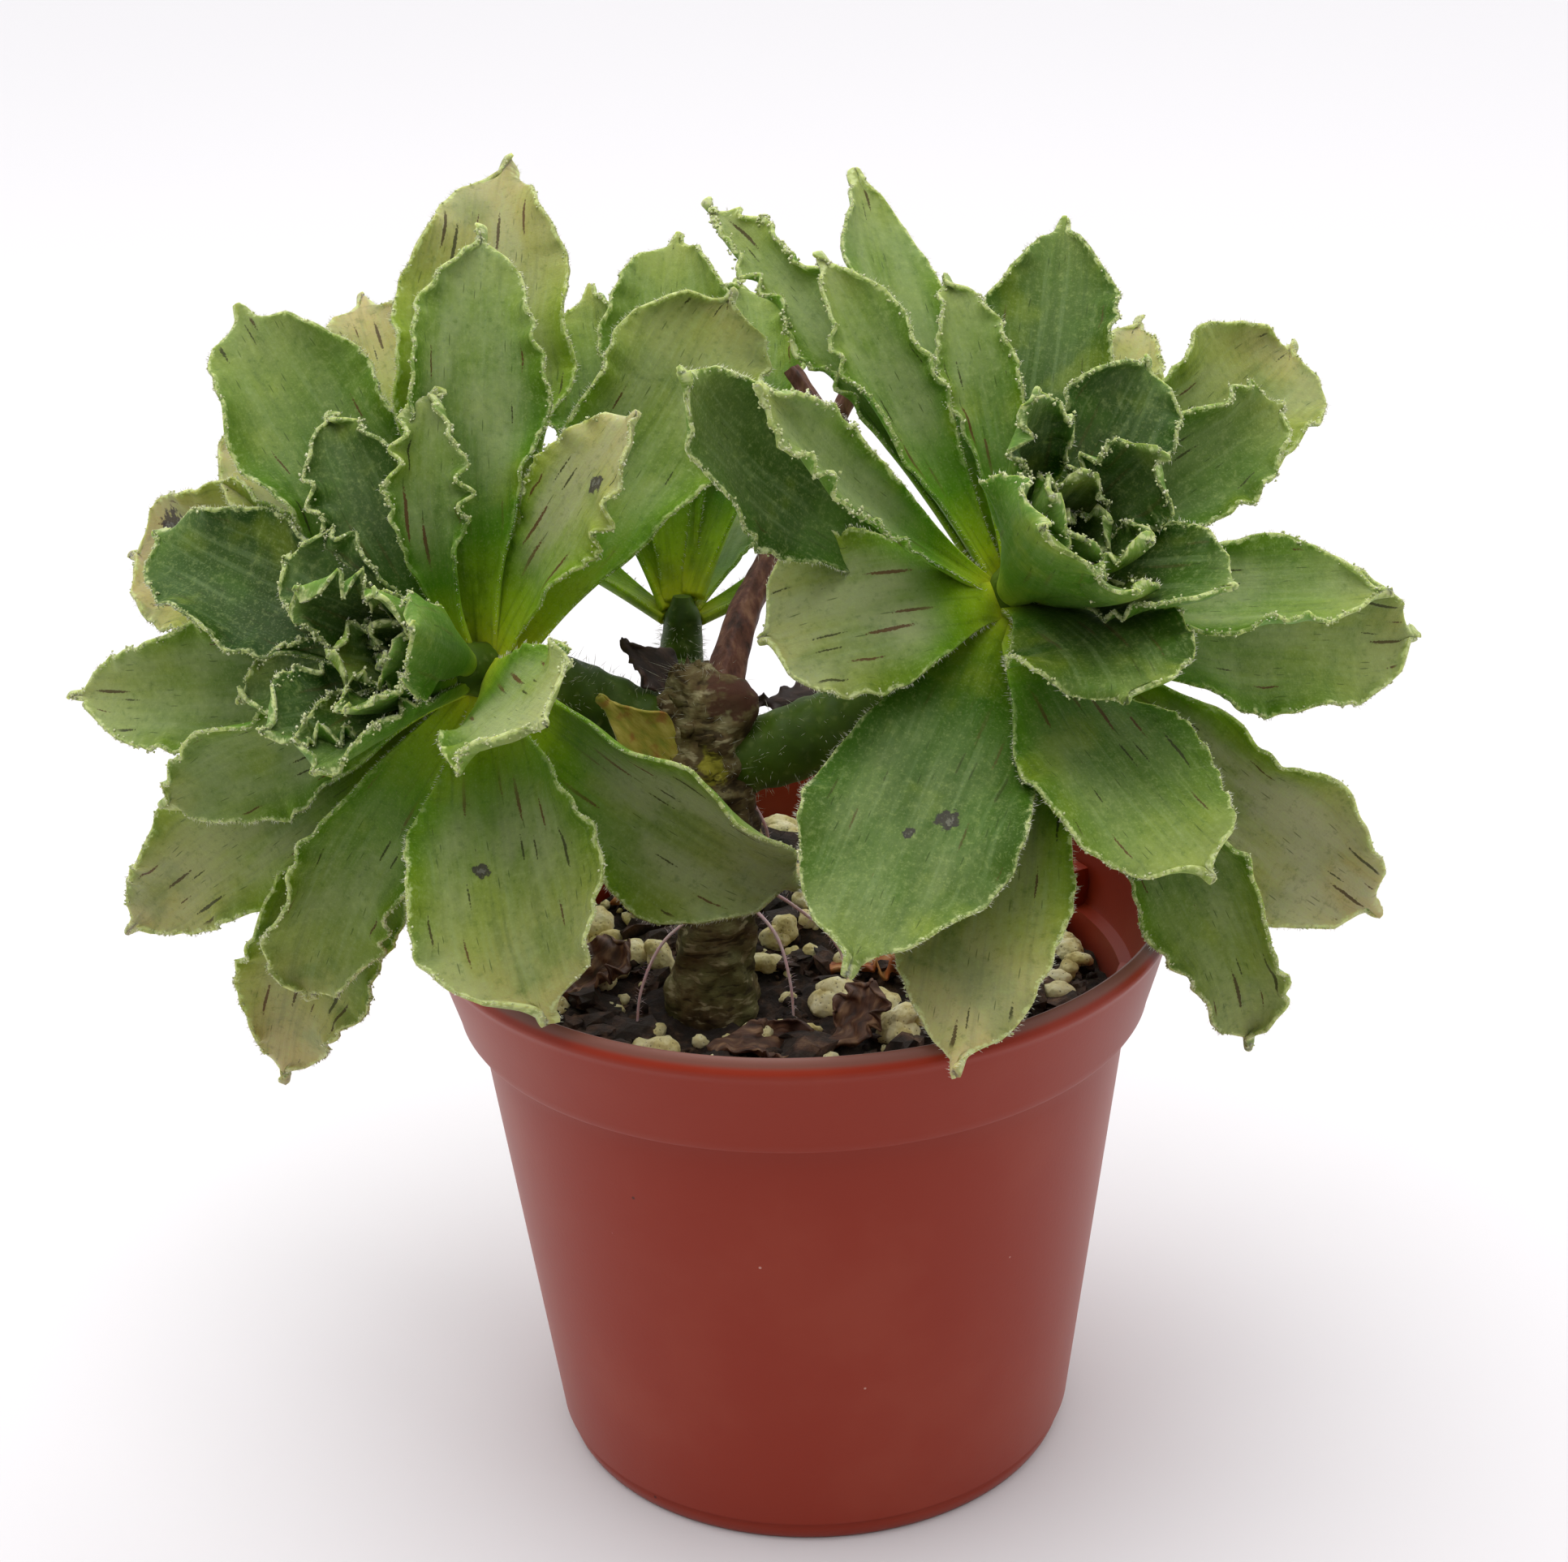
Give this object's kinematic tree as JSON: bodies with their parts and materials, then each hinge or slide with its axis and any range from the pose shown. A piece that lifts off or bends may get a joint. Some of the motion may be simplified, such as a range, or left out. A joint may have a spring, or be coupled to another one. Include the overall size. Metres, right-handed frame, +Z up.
{
  "type": "potted aeonium",
  "caption": "Branched aeonium with rosettes of waved, fringed leaves on a short woody stem, growing in gritty soil in a round tapered nursery pot.",
  "frame": {"origin": "centre of the pot's flat underside, on the table plane", "axes": "+Z up along the pot's axis, -Y toward the viewer of the front, +X to the viewer's right"},
  "size_m": [0.1887, 0.1148, 0.1716],
  "materials": {
    "pot_plastic": "brick-red moulded polypropylene, satin",
    "soil": "dark moist bark and peat grit",
    "pumice": "porous cream-yellow pumice",
    "bark": "rough grey-brown bark with leaf scars",
    "leaf": "fleshy green leaf with a fine downy sheen",
    "dry_stalk": "dried brown flower stalk",
    "dry_leaf": "dry brown papery leaf",
    "dying_leaf": "yellow dying leaf",
    "root": "thin pink-mauve aerial root"
  },
  "bodies": {
    "root": {"aerial_root_1": "root", "aerial_root_2": "root", "aerial_root_3": "root", "aerial_root_4": "root", "centre_rosette": "leaf", "dry_leaf_left": "dry_leaf", "dry_leaf_right": "dry_leaf", "dying_leaf": "dying_leaf", "fallen_leaf_front": "dry_leaf", "fallen_leaf_left": "dry_leaf", "fallen_leaf_orange_left": "dry_leaf", "fallen_leaf_orange_right": "dry_leaf", "fallen_leaf_right": "dry_leaf", "flower_stalk": "dry_stalk", "left_rosette": "leaf", "main_stem": "bark", "pot": "pot_plastic", "potting_soil": "soil", "pumice_grain_01": "pumice", "pumice_grain_02": "pumice", "pumice_grain_03": "pumice", "pumice_grain_04": "pumice", "pumice_grain_05": "pumice", "pumice_grain_06": "pumice", "pumice_grain_07": "pumice", "pumice_grain_08": "pumice", "pumice_grain_09": "pumice", "pumice_grain_10": "pumice", "pumice_grain_11": "pumice", "pumice_grain_12": "pumice", "pumice_grain_13": "pumice", "pumice_grain_14": "pumice", "pumice_grain_15": "pumice", "pumice_grain_16": "pumice", "pumice_grain_17": "pumice", "pumice_grain_18": "pumice", "right_rosette": "leaf"}
  },
  "joints": []
}
